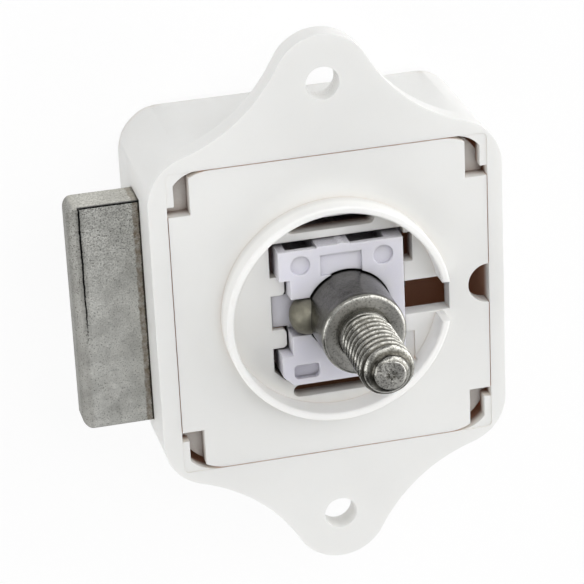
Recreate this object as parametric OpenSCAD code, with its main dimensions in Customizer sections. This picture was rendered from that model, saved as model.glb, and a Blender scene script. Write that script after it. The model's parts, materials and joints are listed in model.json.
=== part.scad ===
// Pushbutton lock for a furniture door, seen from its door side.
// Origin: middle of the two screw holes, on the face that lies against the door.
// +Z points out through the door along the stud, +Y to one ear, -X along the bolt.
// All pieces are drawn locked: the plunger is in and the bolt is out.

/* [Body] */
// Outer width and height of the square body
body_size = 40.4; // [39.6:0.1:48]
// Depth of the body behind the door face
body_depth = 17.5; // [17.2:0.1:24]
// Radius of the body's four corners
corner_r = 5.8; // [4.5:0.1:7]
// Thickness of the body's closed back
back_wall = 1.5; // [1:0.1:1.8]
// Rounding of the back edge
back_round = 0.9; // [0.3:0.1:1.2]

/* [Ears] */
// Distance between the two screw holes
screw_spacing = 53; // [50:0.5:60]
// Diameter of a screw hole
screw_d = 3.8; // [3:0.1:5]
// Radius of an ear's round end
ear_r = 5.6; // [4.5:0.1:7]
// Thickness of an ear
ear_t = 2.7; // [2:0.1:4]
// Radius of the hollow curve from an ear to a corner
ear_sweep_r = 19; // [16:0.5:24]

/* [Cover] */
// Width of the body's rim round the cover plate
rim_w = 1.95; // [1.7:0.05:2.4]
// Thickness of the cover plate
cover_t = 2; // [1.6:0.1:2.4]
// Seam between the cover and the body, each side
seam = 0.08; // [0.05:0.01:0.2]
// Sideways place of the cover in the body
cover_x = 0.2; // [0:0.05:0.3]
// Radius of the cover's corners, under the notches
cover_r = 5; // [4:0.1:6]
// Width of the notch in each corner
notch_w = 2.5; // [2:0.1:3]
// Height of the notch in each corner
notch_h = 5; // [4.2:0.1:5.6]
// Radius of the half-round notch in the cover's far edge
edge_notch_r = 2.4; // [1.5:0.1:3]

/* [Collar] */
// Outer diameter of the collar, for the hole in the door
collar_d = 26; // [25:0.1:28]
// Thickness of the collar's wall
collar_wall = 0.9; // [0.8:0.1:1.4]
// Height of the collar above the cover
collar_h = 3; // [2:0.1:5]
// Width of the gap through the collar
collar_gap = 4.7; // [3:0.1:5]
// Width of the slot from the window to that gap
floor_slot = 4.2; // [2:0.1:4.4]
// How far the gap's slot runs past the collar's wall
collar_gap_reach = 0.5; // [0.1:0.1:1]

/* [Window] */
// Width of the window that the slider runs in
window_w = 15.5; // [15:0.1:16]
// Height of the window between the two leaf beams
window_h = 16.8; // [16.2:0.1:17.2]
// Sideways place of the window and slider
window_x = 0.75; // [0.5:0.05:0.9]
// Thickness of a leaf beam
beam_t = 0.9; // [0.7:0.1:1.1]
// Length of the slot that frees a leaf beam
beam_len = 10.2; // [8:0.1:11]
// Width of that slot
beam_slot_w = 1.5; // [1:0.1:1.7]
// How far the two guide tabs reach into the window
tab_reach = 1.6; // [1.2:0.1:2]
// Distance of a guide tab's near side from the middle
tab_in = 2.1; // [1.9:0.1:2.4]
// Distance of a guide tab's far side from the middle
tab_out = 4.35; // [4.2:0.05:4.8]
// Width of the relief pocket opposite the tabs, and of the blind one below it
pocket_w = 1; // [0.6:0.1:1.2]

/* [Slider] */
// How far the slider's front stands above the cover
slider_proud = 2; // [1:0.1:2.8]
// Gap between the slider and the window, across X
slider_gap_x = 0.6; // [0.3:0.05:0.8]
// Gap between the slider and the upper leaf beam
slider_gap_top = 0.35; // [0.2:0.05:0.5]
// Gap between the slider and the lower leaf beam
slider_gap_low = 0.1; // [0.06:0.01:0.2]
// Free depth behind the slider, for the push that unlocks
over_travel = 1; // [0.6:0.1:1.3]
// Travel of the plunger from locked to open
stroke = 7.2; // [6:0.1:7.4]
// Width of the slot for the stud's key
key_slot_w = 4.5; // [4.4:0.1:5.4]
// Chamfer on the slider's lower corner
slider_chamfer = 1.2; // [0.5:0.1:1.5]

/* [Stud] */
// Sideways place of the stud
stud_x = 1.4; // [0.9:0.05:1.6]
// Diameter of the stud's shoulder
shoulder_d = 9.6; // [8:0.1:9.8]
// Height of the shoulder's face above the cover
shoulder_h = 8.9; // [7:0.05:12]
// Major diameter of the thread
thread_d = 6; // [5:0.5:6]
// Length of the thread, with its lead
thread_len = 10.6; // [8:0.1:20]
// Length of the tapered lead at the thread's end
lead_len = 1.8; // [1:0.1:2.4]
// Diameter at the very end of the thread
lead_d = 3.5; // [2.5:0.1:4.2]
// Diameter of the key pin that keeps the stud from turning
key_d = 4.3; // [3.6:0.1:4.6]
// How far the key pin stands out of the shoulder
key_reach = 1.9; // [1.5:0.1:2.4]
// Diameter of the stud's neck inside the slider
neck_d = 6; // [5:0.1:6.4]

/* [Bolt] */
// Height of the bolt
bolt_h = 27; // [25:0.1:27.4]
// Thickness of the bolt
bolt_t = 4.4; // [4:0.1:5]
// Depth of the bolt's front below the door face
bolt_drop = 5.3; // [5.1:0.1:5.6]
// Throw of the bolt, also how far it stands out when locked
bolt_throw = 8.1; // [7:0.1:8.4]
// Edge rounding of the bolt's nose
nose_r = 1.3; // [0.6:0.1:1.6]
// Diameter of the two drive pins
drive_pin_d = 2.4; // [2:0.1:2.6]

/* [Catch] */
// Diameter of the catch wire
wire_d = 1; // [0.8:0.05:1.1]
// Swing of the catch wire over the whole stroke, in degrees
wire_swing = 16; // [12:0.5:18]
// Thickness of the leaf spring behind the wire
leaf_t = 0.25; // [0.2:0.05:0.35]

/* [Spring] */
// Wire diameter of the push spring
spring_wire_d = 0.7; // [0.5:0.05:0.8]
// Number of turns of the push spring
spring_turns = 7; // [5:1:8]

/* [Hidden] */
$fn = 64;

// Small sizes and clearances
eps = 0.01;
run_gap = 0.12;
pin_gap = 0.06;
shell_white = [0.93, 0.93, 0.92];
slider_lilac = [0.80, 0.79, 0.85];
steel_grey = [0.62, 0.61, 0.58];
zinc_grey = [0.56, 0.56, 0.54];
wire_grey = [0.45, 0.45, 0.46];

// Body and cavity
body_half = body_size / 2;
floor_z = -(body_depth - back_wall);
open_half = body_half - rim_w;
open_r = 0.6;
cavity_r = 2.4;
ledge_z = -0.1;
ledge_w = 0.82;
ledge_t = 1.6;
ledge_h = 3.9;
ledge_fill_r = ledge_h - 0.1;
floor_pad_t = 0.8;
floor_pad_w = 5.5;
floor_pad_h = 7.5;
cover_half = open_half - seam;
wall_left = cover_x - open_half;
wall_right = cover_x + open_half;

// Ribs and rails in the body
rest_rib_t = 0.9;
rest_rib_w = 2.4;
rest_rib_x = 3;
rest_rib_y = 6;
rail_w = 1.4;
guide_rib_w = 1.4;

// Snap legs of the cover
leg_x = 8;
leg_w = 5;
leg_t = 1.1;
leg_len = 4.6;
leg_gap = 0.08;
barb_h = 1;
barb_out = 0.35;

// Collar
collar_r = collar_d / 2;
collar_bore_r = collar_r - collar_wall;
gap_y = -0.25;
floor_slot_y = -0.4;

// Window, slider and leaf beams
win_left = window_x - window_w / 2;
win_right = window_x + window_w / 2;
slider_w = window_w - 2 * slider_gap_x;
slider_top = window_h / 2 - slider_gap_top;
slider_low = -window_h / 2 + slider_gap_low;
slider_h = slider_top - slider_low;
slider_y = (slider_top + slider_low) / 2;
slider_left = window_x - slider_w / 2;
slider_right = window_x + slider_w / 2;
slider_back = floor_z + over_travel;
slider_len = slider_proud - slider_back;
tab_gap = 0.25;
tab_corner_r = 0.5;
pocket_in = 4.1;
pocket_out = 7.6;
blind_deep = 0.2;
blind_shift = 0.5;
runner_gap = 0.15;
runner_top = -3;
tongue_gap = 0.15;
rib_left = -1.95;
rib_right = 1.85;
rib_rise = 0.15;
rib_gap = 0.06;
nub_x = 0.85;
nub_r = 0.8;
recess_d = 2.3;
recess_x = 4.75;
recess_y = 6.2;
recess_deep = 0.4;
recess_shift = 0.1;
panel_w = 4.8;
panel_deep = 0.35;
panel_low = 4.6;
panel_high = 7.1;
pad_w = 2.95;
pad_h = 1.75;
pad_r = 0.5;
pad_deep = 0.9;
pad_x = 4.4;
pad_y = 6.7;
reliefs = [[-5.4, -2.05], [1.95, 5.9]];
relief_deep = 1.6;
relief_lip = 0.7;
relief_end = -4;

// Stud, key pin and clip
stud_bore_r = shoulder_d / 2 + 0.15;
shoulder_end = -2.5;
web_end = -5;
clip_t = 0.6;
neck_end = web_end - clip_t - 1;
groove_r = neck_d / 2 - 0.5;
neck_gap = 0.1;
key_z = slider_proud - 0.4;
key_bore_in = 3.4;
key_round = 1.9;
key_end = stud_x - shoulder_d / 2 - key_reach;
shoulder_chamfer = 0.25;
cavity_bore_r = 4.3;
clip_r = cavity_bore_r - 0.2;

// Push spring and its post
spring_r = cavity_bore_r - 0.3 - spring_wire_d / 2;
spring_top = web_end - clip_t - 0.02;
post_r = spring_r - spring_wire_d / 2 - 0.4;
post_h = 3;
ring_count = 8;
tube_sides = 6;

// Bolt
bolt_front = -bolt_drop;
bolt_back = bolt_front - bolt_t;
bolt_mid = (bolt_front + bolt_back) / 2;
bolt_half = bolt_h / 2;
arm_in = window_h / 2 + 0.1;
arm_end = 9;
nose_x = -body_half - bolt_throw;
tongue_left = win_left + tongue_gap;
bolt_web_x = tongue_left - bolt_throw - 0.2;
plan_r = 1.1;
rail_y = (arm_in + bolt_half) / 2 + 1.1;
drive_pin_r = drive_pin_d / 2;
drive_x = -3.2;
groove_floor = 6.95;
groove_half = drive_pin_r + run_gap;

// Catch wire, its heart track and the leaf behind it
wire_r = wire_d / 2;
wire_gap = 0.15;
pivot_z = floor_z + 1.7;
tip_z = -4.8;
wire_len = tip_z - pivot_z;
wire_x = slider_right + wire_gap + wire_r;
track_deep = 1;
track_r = wire_r + 0.18;
heart_low = [1, -3.4];
heart_side = [2.3, -0.2];
heart_peak = [1.3, 1];
tip_gap = 0.15;
post_gap = 0.3;
wire_post_x = wire_x + wire_r + post_gap;
wire_post_w = 3.1;
wire_post_half = 1.8;
wire_post_top = pivot_z + 1.2;
clamp_t = 1;
clamp_h = 2.4;
leaf_foot_x = wire_post_x + wire_post_w;
leaf_top_z = tip_z - 1.4;
leaf_touch_z = tip_z - 3.8;
leaf_curl = 0.9;

// Plain outlines

module rounded_rect(w, h, r) {
    square([w - 2 * r, h], center = true);
    square([w, h - 2 * r], center = true);
    for (sx = [-1, 1], sy = [-1, 1])
        translate([sx * (w / 2 - r), sy * (h / 2 - r)])
            circle(r);
}

module slot_2d(from, to, r) {
    run = to - from;
    translate(from) circle(r);
    translate(to) circle(r);
    translate(from)
        rotate(atan2(run[1], run[0]))
            translate([0, -r])
                square([norm(run), 2 * r]);
}

// Centre of the hollow arc that touches the corner circle and the ear circle
function arc_centre(c1, r1, c2, r2) =
    let (
        span = norm(c2 - c1),
        dir = (c2 - c1) / span,
        along = (r1 * r1 - r2 * r2 + span * span) / (2 * span),
        off = sqrt(r1 * r1 - along * along)
    )
    c1 + dir * along + [-dir[1], dir[0]] * -off;

module door_face_2d() {
    corner = [body_half - corner_r, body_half - corner_r];
    ear = [0, screw_spacing / 2];
    hub = arc_centre(corner, ear_sweep_r + corner_r, ear, ear_sweep_r + ear_r);
    rounded_rect(body_size, body_size, corner_r);
    for (mx = [0, 1], my = [0, 1])
        mirror([mx, 0]) mirror([0, my]) {
            translate(ear) circle(ear_r);
            difference() {
                polygon([[0, 0], corner, hub, ear]);
                translate(hub) circle(ear_sweep_r, $fn = 160);
            }
        }
}

// Body

// Side outline of the body with its two back edges rounded
module side_profile_2d() {
    translate([-body_half, -body_depth + back_round])
        square([body_size, body_depth - back_round]);
    translate([-body_half + back_round, -body_depth])
        square([body_size - 2 * back_round, body_depth]);
    for (sx = [-1, 1])
        translate([sx * (body_half - back_round), -body_depth + back_round])
            circle(back_round);
}

module body_solid() {
    intersection() {
        translate([0, 0, -body_depth])
            linear_extrude(body_depth)
                rounded_rect(body_size, body_size, corner_r);
        for_side(0) side_profile_2d();
        for_side(90) side_profile_2d();
    }
    translate([0, 0, -ear_t])
        linear_extrude(ear_t)
            door_face_2d();
}

// Stands an outline up and draws it out across the whole body
module for_side(turn) {
    rotate([90, 0, turn])
        translate([0, 0, -body_half])
            linear_extrude(body_size) children();
}

module corner_fill_2d() {
    for (mx = [0, 1], my = [0, 1])
        mirror([mx, 0]) mirror([0, my]) {
            translate([open_half - ledge_w, open_half - ledge_h])
                square([ledge_w, ledge_h]);
            difference() {
                translate([open_half - ledge_fill_r, open_half - ledge_fill_r])
                    square(ledge_fill_r);
                translate([open_half - ledge_fill_r, open_half - ledge_fill_r])
                    circle(ledge_fill_r);
            }
        }
}

module cavity() {
    translate([cover_x, 0, ledge_z])
        linear_extrude(-ledge_z + 1)
            rounded_rect(2 * open_half, 2 * open_half, open_r);
    translate([cover_x, 0, floor_z])
        linear_extrude(ledge_z - floor_z + eps)
            difference() {
                rounded_rect(2 * open_half, 2 * open_half, cavity_r);
                corner_fill_2d();
            }
    translate([cover_x, 0, floor_z])
        linear_extrude(ledge_z - ledge_t - floor_z)
            rounded_rect(2 * open_half, 2 * open_half, cavity_r);
}

module bolt_gate() {
    translate([-body_half - 1, -bolt_half - run_gap, bolt_back - run_gap])
        cube([body_half + 1 + wall_left + 1, bolt_h + 2 * run_gap, bolt_t + 2 * run_gap]);
}

module barb_sockets() {
    for (sx = [-1, 1], sy = [-1, 1])
        translate([cover_x + sx * leg_x - leg_w / 2 - run_gap,
            sy > 0 ? open_half - eps : -open_half - barb_out - run_gap,
            -cover_t - leg_len - run_gap])
            cube([leg_w + 2 * run_gap, barb_out + run_gap + eps, barb_h + 2 * run_gap]);
}

module rest_ribs() {
    rib_h = -cover_t - floor_z;
    for (sx = [-1, 1], sy = [-1, 1])
        translate([cover_x + sx * rest_rib_x - rest_rib_w / 2,
            sy > 0 ? open_half - rest_rib_t : -open_half, floor_z])
            cube([rest_rib_w, rest_rib_t, rib_h]);
    for (sy = [-1, 1])
        translate([wall_right - rest_rib_t, sy * rest_rib_y - rest_rib_w / 2, floor_z])
            cube([rest_rib_t, rest_rib_w, rib_h]);
}

module bolt_rails() {
    for (sy = [-1, 1])
        translate([wall_left, sy * rail_y - rail_w / 2, floor_z])
            cube([2 * open_half, rail_w, bolt_back - run_gap - floor_z]);
}

module spring_post() {
    translate([stud_x, 0, floor_z])
        cylinder(r = post_r, h = post_h);
}

module wire_post() {
    difference() {
        translate([wire_post_x, -wire_post_half, floor_z])
            cube([wire_post_w, 2 * wire_post_half, wire_post_top - floor_z]);
        translate([wire_post_x - 1, 0, pivot_z])
            rotate([0, 90, 0])
                cylinder(r = wire_r + pin_gap, h = wire_post_w + 2);
    }
    translate([leaf_foot_x + leaf_t, -wire_post_half, floor_z])
        cube([clamp_t, 2 * wire_post_half, clamp_h]);
}

module housing() {
    color(shell_white) {
        difference() {
            body_solid();
            cavity();
            bolt_gate();
            barb_sockets();
            for (sy = [-1, 1])
                translate([0, sy * screw_spacing / 2, -ear_t - 1])
                    cylinder(d = screw_d, h = ear_t + 2);
        }
        rest_ribs();
        bolt_rails();
        spring_post();
        wire_post();
    }
}

// Cover

module cover_2d() {
    difference() {
        rounded_rect(2 * cover_half, 2 * cover_half, cover_r);
        for (sx = [-1, 1], sy = [-1, 1])
            translate([sx * (cover_half - notch_w / 2), sy * (cover_half - notch_h / 2)])
                square([notch_w + eps, notch_h + eps], center = true);
        translate([cover_half, 0]) circle(edge_notch_r);
    }
}

module tab_2d(reach, near, far) {
    translate([win_left - eps, near])
        square([reach - tab_corner_r + eps, far - near]);
    translate([win_left - eps, near + tab_corner_r])
        square([reach + eps, far - near - 2 * tab_corner_r]);
    for (y = [near + tab_corner_r, far - tab_corner_r])
        translate([win_left + reach - tab_corner_r, y]) circle(tab_corner_r);
}

module window_2d() {
    difference() {
        union() {
            translate([window_x, 0])
                square([window_w, window_h], center = true);
            translate([win_right - eps, pocket_in])
                square([pocket_w + eps, pocket_out - pocket_in]);
        }
        for (my = [0, 1])
            mirror([0, my]) tab_2d(tab_reach, tab_in, tab_out);
        corner_cut_2d(win_left, window_h / 2, slider_chamfer);
    }
}

// Triangle that cuts the lower corner on the bolt's side
module corner_cut_2d(left, half, size) {
    polygon([[left - eps, -half - eps], [left + size, -half - eps], [left - eps, -half + size]]);
}

module beam_slots_2d() {
    slot_r = beam_slot_w / 2;
    slot_y = window_h / 2 + beam_t + slot_r;
    for (sy = [-1, 1])
        slot_2d([cover_x - beam_len / 2 + slot_r, sy * slot_y],
            [cover_x + beam_len / 2 - slot_r, sy * slot_y], slot_r);
}

// Floors under the corner notches; the housing's ledges hold them down
module notch_floors() {
    translate([0, 0, -cover_t - floor_pad_t])
        linear_extrude(floor_pad_t + eps)
            intersection() {
                rounded_rect(2 * cover_half, 2 * cover_half, cover_r);
                for (sx = [-1, 1], sy = [-1, 1])
                    translate([sx * (cover_half - floor_pad_w / 2), sy * (cover_half - floor_pad_h / 2)])
                        square([floor_pad_w + eps, floor_pad_h + eps], center = true);
            }
}

module cover_leg() {
    translate([-leg_w / 2, cover_half - leg_t - leg_gap, -cover_t - leg_len])
        cube([leg_w, leg_t, leg_len + eps]);
    translate([-leg_w / 2, cover_half - leg_gap - eps, -cover_t - leg_len])
        rotate([90, 0, 90])
            linear_extrude(leg_w)
                polygon([[0, 0], [barb_out + seam, barb_h * 0.6], [barb_out + seam, barb_h], [0, barb_h]]);
}

module cover_plate() {
    gap_end = cover_x + collar_r + collar_gap_reach;
    color(shell_white)
        difference() {
            union() {
                translate([cover_x, 0, -cover_t])
                    linear_extrude(cover_t) cover_2d();
                translate([cover_x, 0, -eps])
                    cylinder(r = collar_r, h = collar_h + eps, $fn = 128);
                for (my = [0, 1])
                    mirror([0, my])
                        translate([cover_x, 0, 0])
                            for (sx = [-1, 1])
                                translate([sx * leg_x, 0, 0]) cover_leg();
                translate([cover_x, 0, 0]) notch_floors();
                for (sy = [-1, 1])
                    translate([cover_x, sy * rail_y, (-cover_t + bolt_front + run_gap) / 2])
                        cube([2 * cover_half - 2 * notch_w, guide_rib_w,
                            bolt_drop - cover_t - run_gap + eps], center = true);
            }
            translate([cover_x, 0, 0])
                cylinder(r = collar_bore_r, h = collar_h + 1, $fn = 128);
            translate([0, 0, -cover_t - 1])
                linear_extrude(cover_t + 2) window_2d();
            translate([0, 0, -cover_t - 1])
                linear_extrude(cover_t + 2) beam_slots_2d();
            translate([win_right - eps, -pocket_out - blind_shift, -blind_deep])
                cube([pocket_w + eps, pocket_out - pocket_in, blind_deep + 1]);
            translate([win_right - eps, floor_slot_y - floor_slot / 2, -cover_t - 1])
                cube([gap_end - win_right + eps, floor_slot, cover_t + 1]);
            translate([win_right - eps, gap_y - collar_gap / 2, 0])
                cube([gap_end - win_right + eps, collar_gap, collar_h + 1]);
        }
}

// Plunger: slider, stud, key pin and clip

module slider_2d() {
    difference() {
        union() {
            translate([window_x, slider_y])
                square([slider_w, slider_h], center = true);
            translate([tongue_left, -tab_in + tongue_gap])
                square([slider_left - tongue_left + eps, 2 * (tab_in - tongue_gap)]);
        }
        for (my = [0, 1])
            mirror([0, my])
                translate([slider_left - eps, tab_in - tongue_gap])
                    square([win_left + tab_reach + tab_gap - slider_left + eps,
                        tab_out + tab_gap - tab_in + tongue_gap]);
        corner_cut_2d(slider_left, -slider_low, slider_chamfer);
    }
}

// Point of the wire's tip, in the slider's own frame, at a share t of the stroke
function tip_at(t) =
    [-wire_len * sin(wire_swing * t), pivot_z + wire_len * cos(wire_swing * t) - stroke * t];

// The way out runs straight down from the cup, the way back goes round the heart
module heart_track() {
    cup = tip_at(0);
    stop = tip_at(1);
    low = cup + heart_low;
    side = cup + heart_side;
    peak = cup + heart_peak;
    way = [stop, low, side, peak, cup, stop];
    translate([slider_right - track_deep, 0, 0])
        rotate([90, 0, 90])
            linear_extrude(track_deep + 1)
                for (i = [0 : len(way) - 2])
                    slot_2d(way[i], way[i + 1], track_r);
}

// Slanted groove that drives the bolt as the slider moves
module drive_groove() {
    slope = [bolt_throw, -stroke];
    start = [drive_x, bolt_mid];
    finish = start + slope * 1.3;
    translate([0, groove_floor + 5, 0])
        rotate([90, 0, 0])
            linear_extrude(5)
                slot_2d(start, finish, groove_half);
}

// Runner on the slider's far side that passes through a relief pocket
module runner() {
    runner_w = pocket_out - pocket_in - 2 * runner_gap;
    translate([slider_right - eps, pocket_in + runner_gap, slider_back])
        cube([win_right + pocket_w - 2 * runner_gap - slider_right, runner_w, runner_top - slider_back]);
}

// Raised step and round nub that rub on the upper beam
module slider_ribs() {
    translate([rib_left, slider_top - eps, slider_back])
        cube([rib_right - rib_left, rib_rise + eps, slider_len]);
    translate([nub_x, slider_top + slider_gap_top - rib_gap - nub_r, slider_back])
        cylinder(r = nub_r, h = slider_len);
}

module slider_marks() {
    for (sx = [-1, 1]) {
        translate([window_x + recess_shift + sx * recess_x, recess_y, slider_proud - recess_deep])
            cylinder(d = recess_d, h = recess_deep + 1);
        translate([window_x + sx * pad_x, -pad_y, slider_proud - pad_deep])
            linear_extrude(pad_deep + 1) rounded_rect(pad_w, pad_h, pad_r);
    }
    translate([window_x - panel_w / 2, panel_low, slider_proud - panel_deep])
        cube([panel_w, panel_high - panel_low, panel_deep + 1]);
    for (part = reliefs)
        translate([part[0], slider_top - relief_deep, relief_end])
            cube([part[1] - part[0], relief_deep + 1, slider_proud - relief_lip - relief_end]);
}

module slider() {
    color(slider_lilac)
        difference() {
            union() {
                translate([0, 0, slider_back])
                    linear_extrude(slider_len) slider_2d();
                slider_ribs();
                runner();
            }
            translate([stud_x, 0, shoulder_end])
                cylinder(r = stud_bore_r, h = slider_len);
            translate([stud_x, 0, slider_back - 1])
                cylinder(r = neck_d / 2 + neck_gap, h = slider_len);
            translate([stud_x, 0, slider_back - 1])
                cylinder(r = cavity_bore_r, h = web_end - slider_back + 1);
            translate([win_left - 1, -key_slot_w / 2, key_z - key_d / 2])
                cube([stud_x - win_left + 1, key_slot_w, slider_len]);
            slider_marks();
            for (my = [0, 1])
                mirror([0, my, 0]) drive_groove();
            heart_track();
        }
}

module stud() {
    color(steel_grey)
        translate([stud_x, 0, 0])
            difference() {
                union() {
                    translate([0, 0, shoulder_end])
                        cylinder(d = shoulder_d, h = shoulder_h - shoulder_chamfer - shoulder_end);
                    translate([0, 0, shoulder_h - shoulder_chamfer])
                        cylinder(r1 = shoulder_d / 2, r2 = shoulder_d / 2 - shoulder_chamfer,
                            h = shoulder_chamfer);
                    translate([0, 0, neck_end])
                        cylinder(d = neck_d, h = shoulder_end - neck_end + eps);
                    translate([0, 0, shoulder_h - eps])
                        cylinder(d = thread_d, h = thread_len - lead_len + eps);
                    translate([0, 0, shoulder_h + thread_len - lead_len])
                        cylinder(d1 = thread_d, d2 = lead_d, h = lead_len);
                }
                translate([0, 0, web_end - clip_t])
                    difference() {
                        cylinder(d = neck_d + 2, h = clip_t);
                        translate([0, 0, -1]) cylinder(r = groove_r, h = clip_t + 2);
                    }
                translate([-shoulder_d / 2 - 1, 0, key_z])
                    rotate([0, 90, 0])
                        cylinder(d = key_d, h = key_bore_in + 1);
            }
}

module stud_key() {
    key_len = key_bore_in + key_reach;
    color(steel_grey)
        translate([key_end, 0, key_z])
            rotate([0, 90, 0])
                rotate_extrude() {
                    translate([0, key_round]) square([key_d / 2, key_len - key_round]);
                    square([key_d / 2 - key_round, key_len]);
                    intersection() {
                        translate([key_d / 2 - key_round, key_round]) circle(key_round);
                        square([key_d / 2, key_len]);
                    }
                }
}

module stud_clip() {
    color(wire_grey)
        translate([stud_x, 0, web_end - clip_t])
            difference() {
                cylinder(r = clip_r, h = clip_t);
                translate([0, 0, -1]) cylinder(r = groove_r, h = clip_t + 2);
                translate([-groove_r, 0, -1]) cube([2 * groove_r, clip_r + 1, clip_t + 2]);
            }
}

// Bolt and its two drive pins

module bolt_plan_2d() {
    difference() {
        union() {
            translate([nose_x + plan_r, -bolt_half])
                square([arm_end - nose_x - plan_r, bolt_h]);
            translate([nose_x, -bolt_half + plan_r])
                square([plan_r + eps, bolt_h - 2 * plan_r]);
            for (sy = [-1, 1])
                translate([nose_x + plan_r, sy * (bolt_half - plan_r)]) circle(plan_r);
        }
        translate([bolt_web_x, -arm_in])
            square([arm_end - bolt_web_x + 1, 2 * arm_in]);
    }
}

module bolt_side_2d() {
    translate([nose_x + nose_r, bolt_back])
        square([arm_end - nose_x - nose_r, bolt_t]);
    translate([nose_x, bolt_back + nose_r])
        square([nose_r + eps, bolt_t - 2 * nose_r]);
    for (z = [bolt_back + nose_r, bolt_front - nose_r])
        translate([nose_x + nose_r, z]) circle(nose_r);
}

module bolt() {
    color(zinc_grey)
        difference() {
            intersection() {
                translate([0, 0, bolt_back])
                    linear_extrude(bolt_t) bolt_plan_2d();
                translate([0, bolt_half + 1, 0])
                    rotate([90, 0, 0])
                        linear_extrude(bolt_h + 2) bolt_side_2d();
            }
            for (sy = [-1, 1])
                translate([drive_x, sy * (arm_in - 1), bolt_mid])
                    rotate([-90 * sy, 0, 0])
                        cylinder(d = drive_pin_d, h = bolt_half - arm_in + 2);
        }
}

module bolt_pins() {
    pin_in = groove_floor + run_gap;
    color(wire_grey)
        for (sy = [-1, 1])
            translate([drive_x, sy * pin_in, bolt_mid])
                rotate([-90 * sy, 0, 0])
                    cylinder(d = drive_pin_d, h = bolt_half - pin_in - run_gap);
}

// Push spring: one tube swept along a helix

function coil_point(t) =
    let (turn = 360 * spring_turns * t, low = floor_z + spring_wire_d / 2 + eps)
    [stud_x + spring_r * cos(turn), spring_r * sin(turn),
        low + (spring_top - spring_wire_d / 2 - low) * t];

module push_spring() {
    rings = spring_turns * ring_count;
    rise = (spring_top - floor_z - spring_wire_d) / rings;
    climb = atan2(rise, spring_r * 360 / ring_count * PI / 180);
    points = [for (i = [0 : rings], j = [0 : tube_sides - 1])
        let (
            c = coil_point(i / rings),
            turn = 360 * i / ring_count,
            a = 360 * j / tube_sides,
            out = [cos(turn), sin(turn), 0],
            up = [sin(climb) * sin(turn), -sin(climb) * cos(turn), cos(climb)]
        )
        c + spring_wire_d / 2 * (cos(a) * out + sin(a) * up)];
    sides = [for (i = [0 : rings - 1], j = [0 : tube_sides - 1])
        let (k = (j + 1) % tube_sides, a = i * tube_sides, b = a + tube_sides)
        for (face = [[a + j, a + k, b + j], [a + k, b + k, b + j]]) face];
    caps = [[for (j = [tube_sides - 1 : -1 : 0]) j],
        [for (j = [0 : tube_sides - 1]) rings * tube_sides + j]];
    echo(least_gap = rise * ring_count - spring_wire_d);
    color(wire_grey)
        polyhedron(points = points, faces = concat(sides, caps));
}

// Catch: bent wire that rides in the heart track, and the leaf that holds it in

module catch_wire() {
    foot_end = wire_post_x + wire_post_w - tip_gap;
    color(wire_grey) {
        translate([wire_x, 0, pivot_z]) cylinder(r = wire_r, h = wire_len);
        translate([wire_x, 0, pivot_z]) sphere(wire_r);
        translate([wire_x, 0, tip_z]) sphere(wire_r);
        translate([wire_x, 0, pivot_z])
            rotate([0, 90, 0]) cylinder(r = wire_r, h = foot_end - wire_x);
        translate([slider_right - track_deep + tip_gap, 0, tip_z])
            rotate([0, 90, 0])
                cylinder(r = wire_r, h = wire_x - slider_right + track_deep - tip_gap);
    }
}

module catch_leaf() {
    touch_x = wire_x + wire_r + 0.08;
    bend_z = floor_z + clamp_h + 0.6;
    color(wire_grey)
        translate([0, wire_post_half, 0])
            rotate([90, 0, 0])
                linear_extrude(2 * wire_post_half)
                    polygon([
                        [leaf_foot_x, floor_z],
                        [leaf_foot_x + leaf_t, floor_z],
                        [leaf_foot_x + leaf_t, bend_z],
                        [touch_x + leaf_t, leaf_touch_z],
                        [touch_x + leaf_curl + leaf_t, leaf_top_z],
                        [touch_x + leaf_curl, leaf_top_z],
                        [touch_x, leaf_touch_z],
                        [leaf_foot_x, bend_z]
                    ]);
}

housing();
cover_plate();
slider();
stud();
stud_key();
stud_clip();
bolt();
bolt_pins();
push_spring();
catch_wire();
catch_leaf();
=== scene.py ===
import bpy
import bmesh
import json
import math
import random
from mathutils import Matrix, Vector


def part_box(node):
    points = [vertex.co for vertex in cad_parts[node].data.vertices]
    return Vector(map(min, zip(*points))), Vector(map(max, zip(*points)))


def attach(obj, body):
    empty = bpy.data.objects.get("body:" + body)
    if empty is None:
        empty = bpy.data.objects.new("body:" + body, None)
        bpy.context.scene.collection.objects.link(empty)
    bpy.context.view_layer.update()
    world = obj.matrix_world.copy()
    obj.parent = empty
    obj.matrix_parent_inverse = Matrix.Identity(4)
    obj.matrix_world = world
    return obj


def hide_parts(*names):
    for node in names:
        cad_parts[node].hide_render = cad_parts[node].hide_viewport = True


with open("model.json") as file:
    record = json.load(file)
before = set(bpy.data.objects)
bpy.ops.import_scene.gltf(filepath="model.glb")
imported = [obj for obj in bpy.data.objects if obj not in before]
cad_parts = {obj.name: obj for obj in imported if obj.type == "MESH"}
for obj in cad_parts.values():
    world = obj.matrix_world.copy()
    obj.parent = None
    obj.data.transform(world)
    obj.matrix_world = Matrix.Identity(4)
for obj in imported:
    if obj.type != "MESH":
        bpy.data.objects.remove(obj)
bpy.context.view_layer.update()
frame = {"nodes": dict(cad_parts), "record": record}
nodes = frame["nodes"]
mounts = {m["name"]: m for m in frame["record"]["mounts"]}
random.seed(7)

MM = 0.001


# A node's box in millimetres
def box_mm(node):
    low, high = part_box(node)
    return [v * 1000 for v in low], [v * 1000 for v in high]


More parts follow.
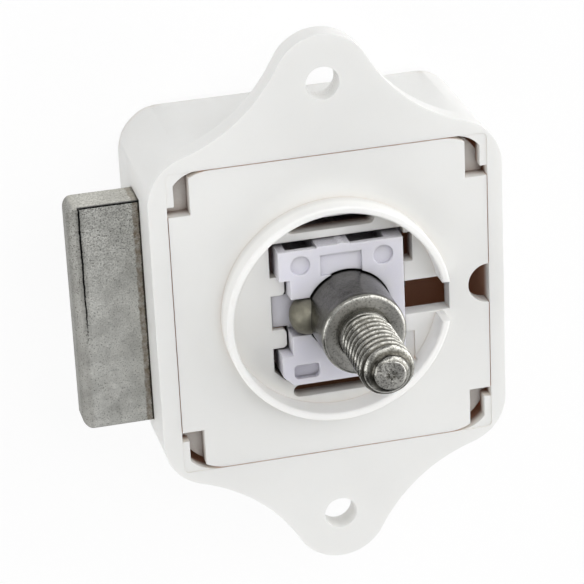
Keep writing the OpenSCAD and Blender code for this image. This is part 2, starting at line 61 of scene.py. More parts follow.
# Where the pieces lie, in millimetres. The lock's door face is at height 0.
STUD_X = mounts["knob_stud"]["pos_m"][0] * 1000
SHOULDER_Z = mounts["knob_stud"]["pos_m"][2] * 1000
THREAD_R = mounts["knob_stud"]["dims"]["r_mm"]
STUD_LOW, STUD_HIGH = box_mm("stud")
SHOULDER_R = (STUD_HIGH[0] - STUD_LOW[0]) / 2
TIP_Z = STUD_HIGH[2]
COLLAR_X = mounts["collar"]["pos_m"][0] * 1000
COLLAR_R = mounts["collar"]["dims"]["r_mm"]
COLLAR_Z = mounts["collar"]["dims"]["length_mm"]
SCREW_Y = mounts["door_screws"]["dims"]["spacing_y_mm"] / 2
SLIDER_Z = box_mm("slider")[1][2]
BACK_Z = mounts["back_face"]["pos_m"][2] * 1000
WALL_X = box_mm("housing")[0][0]
BOLT_LOW, BOLT_HIGH = box_mm("bolt")
NOSE_X, BOLT_TOP, BOLT_FRONT = BOLT_LOW[0], BOLT_HIGH[1], BOLT_HIGH[2]

# The stud's thread and its tapered tip
PITCH = 1.0
THREAD_DEEP = 0.58
CONE_TIP_R = 1.68
CONE_SLOPE = 0.88

# What counts as inside the housing, so that its outer faces and rounded corners stay white
INSIDE = 19.0
INSIDE_CORNERS = 36.2
INSIDE_FLOOR = -16.8

# Heights between which the white plastic's painted lighter tone and painted shade change
FACE_HEIGHTS = (-0.3, 0.3)
COLLAR_HEIGHTS = (0.4, 1.4)
SEAM_FLOOR = -6.0
GAP_HEIGHTS = (-0.6, -1.6)
WHITE_DEEP = (-0.9, -2.2)
COVER_DEEP = (-2.05, -2.7)

# How far the bolt's nose is rounded off
NOSE_ROUND = 1.3

# Colours of the white plastic, with its painted light and shade
WHITE_BASE = (0.82, 0.82, 0.805)
PAINTED_LIGHTER_WHITE = (0.95, 0.945, 0.92)
SPECK_TAN = (0.55, 0.52, 0.46)
WARM_CORNER_SHADE = (0.84, 0.75, 0.65)
SEAM_SHADE_ORANGE = (0.62, 0.27, 0.11)
DEEP_SHADE_BROWN = (0.46, 0.27, 0.20)
GAP_SHADE_BROWN = (0.13, 0.06, 0.04)
PAINTED_GLOW_ORANGE = (0.90, 0.36, 0.14)

# Colours of the slider
LILAC_BASE = (0.76, 0.75, 0.81)
LILAC_CORNER_SHADE = (0.45, 0.43, 0.50)
LILAC_GAP_SHADE = (0.05, 0.045, 0.05)

# Colours of the turned metal and the spring wire
NICKEL_SIDE = (0.42, 0.415, 0.385)
NICKEL_FACE_PAINTED_LIGHTER = (0.60, 0.59, 0.555)
OIL_AND_SHADE = (0.045, 0.042, 0.033)
SATIN_BASE = (0.235, 0.225, 0.18)
STEEL_BASE = (0.40, 0.40, 0.41)
METAL_GRIME_AND_SHADE = (0.2, 0.19, 0.17)
NICKEL_ROUGH_SIDE = 0.186
NICKEL_ROUGH_FACE = 0.30

# Colours of the bolt
ZINC_PALE = (0.84, 0.84, 0.80)
ZINC_GREY = (0.60, 0.60, 0.57)
ZINC_GRAIN = (0.34, 0.34, 0.31)
ZINC_DENSE = (0.27, 0.27, 0.25)
PIT_DARK = (0.06, 0.058, 0.05)
WALL_SHADE_BROWN = (0.19, 0.14, 0.09)
CONTACT_SHADOW = (0.02, 0.018, 0.015)
NOSE_PAINTED_HIGHLIGHT = (0.60, 0.575, 0.51)
NOSE_PAINTED_SHADE = (0.13, 0.125, 0.11)
TOP_PAINTED_HIGHLIGHT = (0.62, 0.60, 0.53)
LINE_SIDE_SHADE = (0.12, 0.115, 0.10)
LINE_BLACK = (0.004, 0.004, 0.004)
HIDDEN_SHADE = (0.03, 0.028, 0.026)


def rgb(r, g, b):
    return (r, g, b, 1.0)


# Short names for the nodes of a shader tree
class Tree:
    def __init__(self, tree):
        self.tree = tree

    def link(self, a, b):
        self.tree.links.new(a, b)

    def put(self, socket, value):
        if isinstance(value, bpy.types.NodeSocket):
            self.link(value, socket)
        else:
            socket.default_value = value

    def node(self, kind, **settings):
        n = self.tree.nodes.new(kind)
        for name, value in settings.items():
            setattr(n, name, value)
        return n

    def math(self, op, a, b=0.0, c=0.0, clamp=False):
        n = self.node("ShaderNodeMath", operation=op, use_clamp=clamp)
        for socket, value in zip(n.inputs, (a, b, c)):
            self.put(socket, value)
        return n.outputs[0]

    def plus(self, a, b):
        return self.math("ADD", a, b)

    def minus(self, a, b):
        return self.math("SUBTRACT", a, b)

    def times(self, a, b):
        return self.math("MULTIPLY", a, b)

    # 1 above the limit and 0 below it
    def above(self, value, limit):
        return self.math("GREATER_THAN", value, limit)

    # 1 below the limit and 0 above it
    def below(self, value, limit):
        return self.math("LESS_THAN", value, limit)

    # Goes evenly from a to b while the value goes from low to high, and stays there
    def ramp(self, value, low, high, a=0.0, b=1.0):
        n = self.node("ShaderNodeMapRange", clamp=True)
        self.put(n.inputs["Value"], value)
        n.inputs["From Min"].default_value = low
        n.inputs["From Max"].default_value = high
        n.inputs["To Min"].default_value = a
        n.inputs["To Max"].default_value = b
        return n.outputs["Result"]

    def parts(self, vector):
        n = self.node("ShaderNodeSeparateXYZ")
        self.link(vector, n.inputs[0])
        return n.outputs

    # Mixes two shaders
    def blend(self, share, a, b):
        n = self.node("ShaderNodeMixShader")
        self.put(n.inputs[0], share)
        self.link(a, n.inputs[1])
        self.link(b, n.inputs[2])
        return n.outputs[0]

    # 1 where the camera looks straight at the surface
    def looked_at(self):
        return self.node("ShaderNodeLightPath").outputs["Is Camera Ray"]

    # 1 where metal or clear stuff shows the surface
    def mirrored(self):
        ray = self.node("ShaderNodeLightPath").outputs
        return self.math("MAXIMUM", ray["Is Glossy Ray"], ray["Is Transmission Ray"])


# A material built up in layers of colour and relief. Lengths inside it are in millimetres.
class Surface(Tree):
    def __init__(self, name, colour):
        self.mat = bpy.data.materials.new(name)
        self.mat.use_nodes = True
        super().__init__(self.mat.node_tree)
        self.bsdf = self.tree.nodes["Principled BSDF"]
        self.colour = rgb(*colour)
        scaled = self.node("ShaderNodeVectorMath", operation="MULTIPLY")
        self.link(self.node("ShaderNodeTexCoord").outputs["Object"], scaled.inputs[0])
        scaled.inputs[1].default_value = (1000, 1000, 1000)
        self.mm = scaled.outputs[0]
        self.x, self.y, self.z = self.parts(self.mm)

    def set(self, name, value):
        self.put(self.bsdf.inputs[name], value)

    def mix(self, share, a, b):
        n = self.node("ShaderNodeMix", data_type="RGBA")
        self.put(n.inputs[0], share)
        self.put(n.inputs[6], a)
        self.put(n.inputs[7], b)
        return n.outputs[2]

    # Lays a colour over the colour so far
    def paint(self, share, colour):
        self.colour = self.mix(share, self.colour, rgb(*colour))

    def noise(self, scale, detail, rough=0.5, vector=None, distort=0.0):
        n = self.node("ShaderNodeTexNoise")
        n.inputs["Scale"].default_value = scale
        n.inputs["Detail"].default_value = detail
        n.inputs["Roughness"].default_value = rough
        n.inputs["Distortion"].default_value = distort
        self.link(vector or self.mm, n.inputs["Vector"])
        return n.outputs["Fac"]

    # Soft clouds between a and b
    def cloud(self, a=0.0, b=1.0, **settings):
        return self.ramp(self.noise(**settings), 0.3, 0.7, a, b)

    # Share that is 0 where the noise is under low and most where it is over high
    def spots(self, low, high, most=1.0, least=0.0, **settings):
        return self.ramp(self.noise(**settings), low, high, least, most)

    # Distance from an upright axis through centre_x
    def radius(self, centre_x):
        away = self.minus(self.x, centre_x)
        return self.math("SQRT", self.plus(self.times(away, away), self.times(self.y, self.y)))

    # Distance from the stud's axis and height, so that a pattern on them runs round the stud
    def round_stud(self):
        n = self.node("ShaderNodeCombineXYZ")
        self.link(self.radius(STUD_X), n.inputs[0])
        self.link(self.z, n.inputs[1])
        return n.outputs[0]

    # Share that goes from most where walls close a point in to 0 where it lies open. The
    # openness is 0 to 1, and only walls within the reach count.
    def in_corners(self, reach, closed, free, most=1.0):
        n = self.node("ShaderNodeAmbientOcclusion", samples=6)
        n.inputs["Distance"].default_value = reach * MM
        return self.ramp(n.outputs["AO"], closed, free, most, 0.0)

    # 1 in gaps where nearly nothing but other walls is seen
    def buried(self):
        return self.in_corners(reach=6.0, closed=0.08, free=0.34)

    # 1 under the second height inside the lock, and 0 over the first one and outside
    def depth(self, heights):
        side, up = self.math("ABSOLUTE", self.x), self.math("ABSOLUTE", self.y)
        inside = self.below(self.math("MAXIMUM", side, up), INSIDE)
        inside = self.times(inside, self.below(self.plus(side, up), INSIDE_CORNERS))
        inside = self.times(inside, self.above(self.z, INSIDE_FLOOR))
        return self.times(self.ramp(self.z, *heights), inside)

    # Light that enters the plastic and comes out again nearby
    def soak(self, weight, radius, reach):
        self.set("Subsurface Weight", weight)
        self.set("Subsurface Radius", radius)
        self.set("Subsurface Scale", reach * MM)

    def soften_edges(self, radius):
        n = self.node("ShaderNodeBevel", samples=4)
        n.inputs["Radius"].default_value = radius * MM
        self.normal = n.outputs["Normal"]

    # Noise as relief over the relief so far
    def emboss(self, height, **settings):
        n = self.node("ShaderNodeBump")
        n.inputs["Strength"].default_value = 1.0
        n.inputs["Distance"].default_value = height * MM
        self.link(self.noise(**settings), n.inputs["Height"])
        self.link(self.normal, n.inputs["Normal"])
        self.normal = n.outputs["Normal"]

    def finish(self):
        self.set("Normal", self.normal)
        self.set("Base Color", self.colour)
        return self.mat


# White plastic with painted shade: warm in the corners, orange in the seams, and brown with a
# faint painted orange glow where it is deep. Given a radius, its collar and its face inside that
# radius are painted lighter.
def white_plastic(name, deep_heights, lighter_r=None):
    s = Surface(name, WHITE_BASE)
    s.paint(s.cloud(scale=0.09, detail=2), [c * 0.975 for c in WHITE_BASE])
    corner = s.in_corners(reach=2.2, closed=0.15, free=0.70, most=0.6)
    if lighter_r:
        face = s.times(s.below(s.radius(COLLAR_X), lighter_r), s.ramp(s.z, *FACE_HEIGHTS))
        painted_lighter = s.math("MAXIMUM", face, s.ramp(s.z, *COLLAR_HEIGHTS))
        # Painted light: the collar and the face inside it lighter, with less painted corner
        # shade there
        s.paint(painted_lighter, PAINTED_LIGHTER_WHITE)
        corner = s.times(corner, s.minus(1.0, s.times(painted_lighter, 0.7)))
    s.paint(s.spots(0.70, 0.80, most=0.08, scale=2.6, detail=4, rough=0.6), SPECK_TAN)
    # Painted shade: warm darkening in the corners
    s.paint(corner, WARM_CORNER_SHADE)
    # Painted shade: orange in the seams and narrow gaps
    seam = s.in_corners(reach=0.45, closed=0.05, free=0.42, most=0.9)
    s.paint(s.times(seam, s.above(s.z, SEAM_FLOOR)), SEAM_SHADE_ORANGE)
    # Painted shade: brown deep inside the lock, and darker brown in buried gaps
    deep = s.depth(deep_heights)
    s.paint(deep, DEEP_SHADE_BROWN)
    s.paint(s.times(s.buried(), s.ramp(s.z, *GAP_HEIGHTS)), GAP_SHADE_BROWN)
    # Painted glow: a faint orange emission where it is deep, standing in for light that soaks
    # through the thin walls
    s.set("Emission Color", rgb(*PAINTED_GLOW_ORANGE))
    s.set("Emission Strength", s.times(deep, 0.018))
    s.set("Roughness", s.cloud(0.42, 0.56, scale=1.4, detail=3))
    s.set("IOR", 1.47)
    s.set("Specular IOR Level", 0.3)
    s.soak(weight=0.35, radius=(1.0, 0.96, 0.92), reach=1.0)
    s.soften_edges(0.10)
    s.emboss(height=0.012, scale=7.0, detail=4, rough=0.65)
    s.emboss(height=0.05, scale=0.35, detail=2)
    return s.finish()


# The slider's waxy plastic, with painted shade in its corners and dark painted shade where the
# cover's slots and the window's gaps bury it
def waxy_plastic():
    s = Surface("lilac_plastic", LILAC_BASE)
    red, green, blue = LILAC_BASE
    s.paint(s.cloud(scale=0.25, detail=3), (red * 0.96, green * 0.965, blue * 0.985))
    # Painted shade in the corners and in buried gaps
    s.paint(s.in_corners(reach=1.0, closed=0.25, free=0.85, most=0.25), LILAC_CORNER_SHADE)
    s.paint(s.buried(), LILAC_GAP_SHADE)
    s.set("Roughness", s.cloud(0.30, 0.42, scale=2.2, detail=3))
    s.set("IOR", 1.48)
    s.soak(weight=0.55, radius=(1.0, 1.0, 1.1), reach=1.3)
    s.soften_edges(0.16)
    s.emboss(height=0.010, scale=5.0, detail=3, rough=0.6)
    s.emboss(height=0.06, scale=0.5, detail=2)
    return s.finish()


# Blotches, and painted shade darkening the corners, for any metal. Gives back how much painted
# corner shade a point has.
def blotches_and_corner_shade(s, dark, mottle, corner_shade):
    s.set("Metallic", 1.0)
    s.paint(s.spots(0.42, 0.66, most=mottle, scale=0.8, detail=5, rough=0.62, distort=0.4), dark)
    # Painted shade: darker in the corners
    corner = s.in_corners(reach=0.6, closed=0.40, free=0.92, most=corner_shade)
    s.paint(corner, dark)
    return corner


def metal(name, base, rough, edge, grain, mottle=0.0):
    s = Surface(name, base)
    blotches_and_corner_shade(s, METAL_GRIME_AND_SHADE, mottle, corner_shade=0.5)
    s.set("Roughness", s.cloud(rough * 0.8, rough * 1.25, scale=2.4, detail=4))
    s.soften_edges(edge)
    s.emboss(height=grain, scale=6.0, detail=4, rough=0.6)
    return s.finish()


# The stud's plating: turned faces, the up-facing ones painted lighter, a darker wall under the
# shoulder, oil specks, and oil with painted shade in the thread and the corners
def turned_nickel():
    s = Surface("bright_nickel", NICKEL_SIDE)
    corner = blotches_and_corner_shade(s, OIL_AND_SHADE, mottle=0.45, corner_shade=0.95)
    facing = s.parts(s.node("ShaderNodeNewGeometry").outputs["Normal"])[2]
    flat = s.ramp(facing, 0.93, 0.985)
    # Painted light: up-facing faces lighter, with oil and painted shade in their corners
    s.colour = s.mix(flat, s.colour, s.mix(corner, rgb(*NICKEL_FACE_PAINTED_LIGHTER), rgb(*OIL_AND_SHADE)))
    # Darker on the wall under the shoulder
    s.paint(s.ramp(s.z, SHOULDER_Z - 0.45, SHOULDER_Z - 0.15, 0.70, 0.0), OIL_AND_SHADE)
    cone = s.math("MULTIPLY_ADD", s.z, -CONE_SLOPE, CONE_TIP_R + TIP_Z * CONE_SLOPE)
    under_crest = s.minus(s.math("MINIMUM", cone, THREAD_R), s.radius(STUD_X))
    # Oil and painted shade in the thread's grooves, patchy
    groove_oil_and_shade = s.times(s.ramp(under_crest, 0.03, 0.27), s.above(s.z, SHOULDER_Z + 0.3))
    patchy = s.spots(0.30, 0.60, most=0.98, least=0.72, scale=4.0, detail=3, rough=0.7)
    s.paint(s.times(s.times(groove_oil_and_shade, patchy), s.minus(1.0, flat)), OIL_AND_SHADE)
    specks = s.spots(0.50, 0.62, most=0.55, scale=5.0, detail=3, rough=0.7)
    more_on_thread = s.ramp(s.z, SHOULDER_Z, SHOULDER_Z + 0.4, 0.9, 1.5)
    s.paint(s.math("MULTIPLY", specks, more_on_thread, clamp=True), OIL_AND_SHADE)
    s.set("Roughness", s.ramp(flat, 0.0, 1.0, NICKEL_ROUGH_SIDE, NICKEL_ROUGH_FACE))
    s.set("Tangent", s.node("ShaderNodeTangent", direction_type="RADIAL", axis="Z").outputs[0])
    s.set("Anisotropic", s.times(flat, 0.85))
    s.soften_edges(0.06)
    s.emboss(height=0.012, scale=5.0, detail=2, rough=0.6, vector=s.round_stud())
    s.emboss(height=0.016, scale=6.0, detail=4, rough=0.6)
    return s.finish()


# The bolt's tumbled zinc: fine pits, soft mottling, dark lines, painted light and shade on the
# nose and the top face, and painted shade near the wall and inside the housing
def zinc():
    s = Surface("satin_zinc", ZINC_PALE)
    x, y, z = s.x, s.y, s.z
    s.paint(s.spots(0.35, 0.68, scale=0.35, detail=4, rough=0.6), ZINC_GREY)
    s.paint(s.spots(0.45, 0.72, most=0.5, scale=5.5, detail=3, rough=0.7), ZINC_GRAIN)
    # Dense spots grow darker towards the top, and the dark pits towards the top and the nose
    dense = s.spots(0.46, 0.58, scale=4.5, detail=4, rough=0.7)
    s.paint(s.times(dense, s.ramp(y, 0.0, 13.0, 0.12, 0.75)), ZINC_DENSE)
    near_top = s.ramp(y, 4.0, 13.0)
    near_nose = s.ramp(x, NOSE_X + 0.8, NOSE_X + 3.3, 1.0, 0.25)
    pit_share = s.times(s.plus(near_top, near_nose), 0.5)
    pits = s.spots(0.60, 0.67, scale=5.5, detail=2, rough=0.6)
    s.paint(s.times(pits, s.ramp(pit_share, 0.0, 0.8, 0.35, 1.0)), PIT_DARK)

    # Painted shade: brown beside the wall, and a black painted contact shadow where the bolt
    # goes into it
    uneven = s.cloud(-0.16, 0.16, scale=0.8, detail=5, rough=0.75)
    wall_side = s.ramp(s.plus(x, uneven), WALL_X - 0.85, WALL_X - 0.7)
    patchy = s.spots(0.35, 0.62, most=0.85, least=0.35, scale=1.3, detail=4, rough=0.7)
    s.paint(s.times(wall_side, patchy), WALL_SHADE_BROWN)
    contact = s.ramp(s.plus(x, s.times(uneven, 0.6)), WALL_X - 0.22, WALL_X - 0.14, 0.0, 0.85)
    s.paint(contact, CONTACT_SHADOW)

    # Line along the start of the nose's rounding. It turns to the nose and wears off low down.
    wander = s.cloud(-0.06, 0.06, scale=1.1, detail=4, rough=0.7)
    line_x = s.plus(s.ramp(y, -5.6, -2.4, -1.0, 0.0), NOSE_X + NOSE_ROUND)
    off_line = s.math("ABSOLUTE", s.minus(s.minus(x, line_x), wander))
    half_width = s.ramp(y, -6.0, 6.0, 0.035, 0.12)
    line = s.ramp(s.math("DIVIDE", off_line, half_width), 0.6, 1.3, 1.0, 0.0)
    worn = s.plus(s.noise(scale=2.6, detail=4, rough=0.75), s.ramp(y, -6.0, 3.5, -0.26, 0.26))
    line = s.times(line, s.ramp(worn, 0.40, 0.50))

    # Line along the upper front edge
    edge_line = s.above(s.plus(y, s.times(wander, 0.5)), BOLT_TOP - 0.13)
    edge_line = s.times(edge_line, s.above(x, NOSE_X + 1.4))

    # Painted light and shade: a painted highlight and painted shade across the rounded nose, a
    # painted highlight on the top face, and soft painted shade beside the line
    front = s.ramp(z, BOLT_FRONT - 0.6, BOLT_FRONT - 0.2)
    nose = s.ramp(x, NOSE_X + 0.1, NOSE_X + 1.0, 0.0, 0.12)
    s.paint(s.times(nose, s.below(x, NOSE_X + NOSE_ROUND)), NOSE_PAINTED_HIGHLIGHT)
    s.paint(s.ramp(x, NOSE_X, NOSE_X + NOSE_ROUND, 0.70, 0.08), NOSE_PAINTED_SHADE)
    s.paint(s.ramp(y, BOLT_TOP - 0.10, BOLT_TOP - 0.02, 0.0, 0.35), TOP_PAINTED_HIGHLIGHT)
    beside = s.times(s.ramp(off_line, 0.10, 0.55, 0.42, 0.0), s.ramp(y, -4.0, 3.0))
    s.paint(s.times(beside, front), LINE_SIDE_SHADE)
    s.paint(s.times(s.math("MAXIMUM", line, edge_line), front), LINE_BLACK)
    # Painted shade: the bolt dark inside the housing
    s.paint(s.ramp(x, WALL_X - 0.2, WALL_X + 0.8, 0.0, 0.85), HIDDEN_SHADE)
    s.set("Metallic", 1.0)
    s.set("Roughness", s.cloud(0.40, 0.56, scale=1.6, detail=4))
    s.soften_edges(0.12)
    s.emboss(height=0.035, scale=9.0, detail=4, rough=0.7)
    s.emboss(height=0.03, scale=1.2, detail=2)
    return s.finish()


WHITE = white_plastic("white_plastic", WHITE_DEEP)
COVER = white_plastic("white_plastic_cover", COVER_DEEP, lighter_r=COLLAR_R - 0.5)
LILAC = waxy_plastic()
NICKEL = turned_nickel()
SATIN = metal("satin_nickel", SATIN_BASE, rough=0.50, edge=0.05, grain=0.006)
ZINC = zinc()
STEEL = metal("spring_steel", STEEL_BASE, rough=0.33, edge=0.03, grain=0.004, mottle=0.2)


def give(piece, material):
    piece.data.materials.clear()
    piece.data.materials.append(material)


# Finishes a mesh worked out in millimetres and puts it in a solid's place
def smooth_piece(bm, name, body, node, material, sharp=38):
    bm.normal_update()
    for f in bm.faces:
        f.smooth = True
    for e in bm.edges:
        e.smooth = len(e.link_faces) == 2 and e.calc_face_angle(0) < math.radians(sharp)
    bmesh.ops.scale(bm, vec=(MM, MM, MM), verts=bm.verts)
    mesh = bpy.data.meshes.new(name)
    bm.to_mesh(mesh)
    bm.free()
    piece = bpy.data.objects.new(name, mesh)
    bpy.context.scene.collection.objects.link(piece)
    give(piece, material)
    even = piece.modifiers.new("even", "WEIGHTED_NORMAL")
    even.keep_sharp = True
    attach(piece, body)
    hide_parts(node)
    return piece


# A solid's mesh in millimetres, with its flat faces joined
def solid_copy(node):
    bm = bmesh.new()
    bm.from_mesh(nodes[node].data)
    bmesh.ops.scale(bm, vec=(1000, 1000, 1000), verts=bm.verts)
    bmesh.ops.remove_doubles(bm, verts=bm.verts, dist=0.0008)
    bmesh.ops.dissolve_limit(bm, angle_limit=math.radians(0.3), use_dissolve_boundaries=False,
                             verts=bm.verts, edges=bm.edges, delimit={"NORMAL"})
    return bm


# A solid's copy in its place, with the chosen sharp edges rounded off by a width in millimetres
def rounded(node, body, name, material, width=0.0, segments=3, chosen=None):
    bm = solid_copy(node)
    if chosen:
        bm.normal_update()
        edges = [e for e in bm.edges
                 if len(e.link_faces) == 2 and e.calc_face_angle(0) > 0.5 and chosen(e)]
        bmesh.ops.bevel(bm, geom=edges, offset=width, offset_type="OFFSET", segments=segments,
                        profile=0.5, affect="EDGES", clamp_overlap=True, miter_outer="ARC")
    return smooth_piece(bm, name, body, node, material)


# Edges this near the lock's middle belong to the cover's opening, and this near a screw's
# middle to its hole
OPENING_OUT = 18.9
HOLE_OUT = 2.6


def level(e, z, tolerance=0.02):
    return all(abs(v.co.z - z) < tolerance for v in e.verts)


# The housing's outline in its door face, without the rims of the opening and the screw holes
def outer_front(e):
    m = (e.verts[0].co + e.verts[1].co) / 2
    at_rim = max(abs(m.x), abs(m.y)) > OPENING_OUT
    at_hole = math.hypot(m.x, abs(m.y) - SCREW_Y) <= HOLE_OUT
    return level(e, 0) and at_rim and not at_hole


def collar_rim(e):
    return level(e, COLLAR_Z)


def slider_top(e):
    return level(e, SLIDER_Z)


rounded("housing", "case", "housing_shell", WHITE, 0.65, 4, outer_front)
rounded("cover_plate", "case", "cover", COVER, 0.28, 3, collar_rim)
rounded("slider", "plunger", "slider_block", LILAC, 0.22, 3, slider_top)


# The stud: the solid up to its shoulder, then rings of points for the shoulder, thread and tip
TURN_STEPS = 84
STEPS_PER_MM = 12
CUT_BELOW_SHOULDER = 1.2
SHOULDER_EDGE = 0.4
THREAD_START = 0.45
TIP_EDGE = 0.02
# The thread's crest: where it starts over the shoulder and over what height it grows
CREST_START = 0.5
CREST_GROWS = 0.7
# Shares of half a turn's height, from the crest's middle out
GROOVE_SIDE = 0.86
FLANK = 0.66
# The tip's cone: how far it lies under the tip, its grooves' depth and the least radius
CONE_DOWN = 0.06
CONE_GROOVE = 0.34
CORE_R = 0.5
# Radius and height over the shoulder, from its rim to the groove at the thread's foot
SHOULDER_FACE = ((4.1, 0.0), (3.7, -0.012), (3.4, -0.012), (3.12, -0.02), (3.0, -0.05),
                 (2.9, -0.16), (2.62, -0.16), (2.48, -0.08), (2.42, 0.1))
# Radius, depth under the tip and unevenness, from the end disc's rim to its middle
END_DISC = ((1.66, TIP_EDGE, 0.0), (1.56, TIP_EDGE, 0.006), (1.3, 0.035, 0.012),
            (1.0, 0.035, 0.012), (0.7, 0.035, 0.012), (0.45, 0.06, 0.03), (0.2, 0.05, 0.03))


def clamped(value):
    return min(1.0, max(0.0, value))


# Radius of the thread at a height and a part of a turn. The flanks are half straight and half
# rounded, the crest grows from nothing over the first turn, and the tip's cone cuts it down.
def thread_radius(z, turn):
    over_start = z - SHOULDER_Z - CREST_START
    off_crest = abs((over_start / PITCH - turn) % 1.0 - 0.5) * 2
    straight = clamped((GROOVE_SIDE - off_crest) / FLANK)
    rise = 0.5 * straight + 0.5 * straight * straight * (3 - 2 * straight)
    grown = clamped((over_start - 0.1) / CREST_GROWS)
    full = THREAD_R - THREAD_DEEP + THREAD_DEEP * rise * grown
    cone = CONE_TIP_R + (TIP_Z - CONE_DOWN - z) * CONE_SLOPE
    return min(full, max(cone - CONE_GROOVE * (1 - rise), CORE_R))


def turned_stud():
    bm = solid_copy("stud")
    cut = SHOULDER_Z - CUT_BELOW_SHOULDER
    bmesh.ops.bisect_plane(bm, geom=bm.verts[:] + bm.edges[:] + bm.faces[:], dist=0.0001,
                           plane_co=(0, 0, cut), plane_no=(0, 0, 1), clear_outer=True)
    rim = [e for e in bm.edges if e.is_boundary]
    rings = []

    # One ring of points, joined to the ring before it
    def ring(z, radius, uneven=0.0):
        row = []
        for k in range(TURN_STEPS):
            turn = k / TURN_STEPS
            r = radius(z, turn) if callable(radius) else radius
            angle = 2 * math.pi * turn
            row.append(bm.verts.new((STUD_X + r * math.cos(angle), r * math.sin(angle),
                                     z + random.uniform(-uneven, uneven))))
        if rings:
            for k in range(TURN_STEPS):
                n = (k + 1) % TURN_STEPS
                bm.faces.new((rings[-1][k], rings[-1][n], row[n], row[k]))
        rings.append(row)

    ring(cut + 0.02, SHOULDER_R)
    ring(SHOULDER_Z - SHOULDER_EDGE - 0.3, SHOULDER_R)
    for i in range(7):
        a = math.pi / 2 * i / 6
        ring(SHOULDER_Z - SHOULDER_EDGE + SHOULDER_EDGE * math.sin(a),
             SHOULDER_R - SHOULDER_EDGE + SHOULDER_EDGE * math.cos(a))
    for r, up in SHOULDER_FACE:
        ring(SHOULDER_Z + up, r)
    count = int((TIP_Z - TIP_EDGE - SHOULDER_Z - THREAD_START) * STEPS_PER_MM)
    for i in range(count + 1):
        ring(SHOULDER_Z + THREAD_START + i / STEPS_PER_MM, thread_radius)
    for r, down, uneven in END_DISC:
        ring(TIP_Z - down, r, uneven)
    bm.faces.new(rings[-1])
    first = rings[0]
    loop = [bm.edges.get((first[k], first[(k + 1) % TURN_STEPS])) for k in range(TURN_STEPS)]
    bmesh.ops.bridge_loops(bm, edges=rim + loop)
    bmesh.ops.recalc_face_normals(bm, faces=bm.faces)
    return smooth_piece(bm, "stud_turned", "plunger", "stud", NICKEL, 32)


turned_stud()
rounded("stud_key", "plunger", "key_pin", SATIN)

give(nodes["bolt"], ZINC)
for node in ("stud_clip", "bolt_pins", "push_spring", "catch_wire", "catch_leaf"):
    give(nodes[node], STEEL)


# The floor is plain white to the camera, but for a trace of the object's shadow
FLOOR_HALF = 2.0
FLOOR_TONE = (0.92, 0.92, 0.92)
FLOOR_GAP = 0.00002
SHARE_TO_CAMERA = 0.9
SHARE_TO_METAL = 0.7

mesh = bpy.data.meshes.new("floor")
mesh.from_pydata([(-FLOOR_HALF, -FLOOR_HALF, 0), (FLOOR_HALF, -FLOOR_HALF, 0),
                  (FLOOR_HALF, FLOOR_HALF, 0), (-FLOOR_HALF, FLOOR_HALF, 0)], [], [(0, 1, 2, 3)])
floor = bpy.data.objects.new("floor", mesh)
floor.location = (0, 0, BACK_Z * MM - FLOOR_GAP)
bpy.context.scene.collection.objects.link(floor)
paper = Surface("floor", FLOOR_TONE)
paper.set("Base Color", paper.colour)
paper.set("Roughness", 0.8)
glow = paper.node("ShaderNodeEmission")
glow.inputs["Color"].default_value = (1, 1, 1, 1)
share = paper.math("MULTIPLY_ADD", paper.looked_at(), SHARE_TO_CAMERA,
                   paper.times(paper.mirrored(), SHARE_TO_METAL))
paper.link(paper.blend(share, paper.bsdf.outputs[0], glow.outputs[0]),
           paper.tree.nodes["Material Output"].inputs["Surface"])
mesh.materials.append(paper.mat)

# The world: white to the camera, a faint grey light, and for metal a pale room with a bright
# side on the right and a weaker one on the left
ROOM_PANELS = ((0.06, 0.05), (0.22, 0.10), (0.34, 0.55), (0.46, 0.06), (0.62, 0.08),
               (0.74, 0.50), (0.90, 1.0))
ROOM_POWER = 1.5

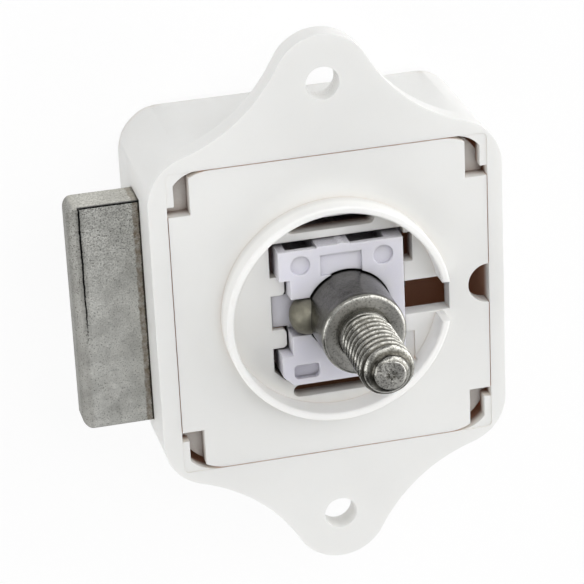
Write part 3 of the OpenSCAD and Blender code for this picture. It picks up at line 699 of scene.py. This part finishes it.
world = bpy.data.worlds.new("studio")
bpy.context.scene.world = world
world.use_nodes = True
sky = Tree(world.node_tree)
dim = sky.tree.nodes["Background"]
dim.inputs["Color"].default_value = (0.80, 0.82, 0.84, 1)
dim.inputs["Strength"].default_value = 0.02
way = sky.node("ShaderNodeTexCoord").outputs["Generated"]
panels = sky.node("ShaderNodeValToRGB")
sky.link(sky.ramp(sky.parts(way)[0], -1.0, 1.0), panels.inputs[0])
stops = panels.color_ramp.elements
for place, tone in ROOM_PANELS:
    stops.new(place).color = (tone, tone, tone, 1)
stops.remove(stops[0])
stops.remove(stops[-1])
room = sky.node("ShaderNodeBackground")
room.inputs["Color"].default_value = (1, 1, 1, 1)
sky.link(sky.times(panels.outputs["Color"], ROOM_POWER), room.inputs["Strength"])
white = sky.node("ShaderNodeBackground")
white.inputs["Color"].default_value = (1, 1, 1, 1)
unseen = sky.blend(sky.mirrored(), dim.outputs[0], room.outputs[0])
sky.link(sky.blend(sky.looked_at(), unseen, white.outputs[0]),
         sky.tree.nodes["World Output"].inputs["Surface"])

# Lamps on a dome: degrees round from +X, degrees up, power
LAMPS = ((0, 22, 0.70), (45, 22, 0.65), (90, 22, 0.10), (135, 22, 0.17), (180, 22, 0.68),
         (225, 22, 0.19), (270, 22, 0.86), (0, 55, 0.13), (45, 55, 0.30), (90, 55, 0.62),
         (180, 55, 0.10), (225, 55, 0.14))
LAMP_SIDE = 0.30
DOME_R = 0.45
HIDDEN_FROM_METAL = (225, 270)

for round_deg, up_deg, power in LAMPS:
    turn, up = math.radians(round_deg), math.radians(up_deg)
    spot = Vector((math.cos(turn) * math.cos(up), math.sin(turn) * math.cos(up), math.sin(up)))
    name = "lamp_%d_%d" % (round_deg, up_deg)
    light = bpy.data.lights.new(name, "AREA")
    light.shape = "SQUARE"
    light.size = LAMP_SIDE
    light.energy = power
    lamp = bpy.data.objects.new(name, light)
    lamp.location = spot * DOME_R
    lamp.rotation_euler = (-spot).to_track_quat("-Z", "Y").to_euler()
    lamp.visible_glossy = round_deg not in HIDDEN_FROM_METAL
    bpy.context.scene.collection.objects.link(lamp)

# The camera, placed as in the photo
SENSOR = 36.0
PICTURE_PX = 584
FOCAL_PX = 2862.3467
CAMERA_PLACE = (-0.0692095, 0.1337159, 0.2837326)
CAMERA_TURN = Matrix(((0.9693248043929985, 0.13924614886560152, -0.20253378388450108),
                      (-0.04478618647449408, 0.9103053578827942, 0.41150741537783936),
                      (0.2416684114433388, -0.38981362910495637, 0.8886178669565881)))

camera = bpy.data.objects.new("camera", bpy.data.cameras.new("camera"))
camera.data.sensor_width = SENSOR
camera.data.lens = FOCAL_PX / PICTURE_PX * SENSOR
camera.data.clip_start = 0.01
camera.matrix_world = Matrix.Translation(CAMERA_PLACE) @ CAMERA_TURN.to_4x4()
bpy.context.scene.collection.objects.link(camera)
bpy.context.scene.camera = camera
bpy.context.scene.view_settings.view_transform = "Standard"
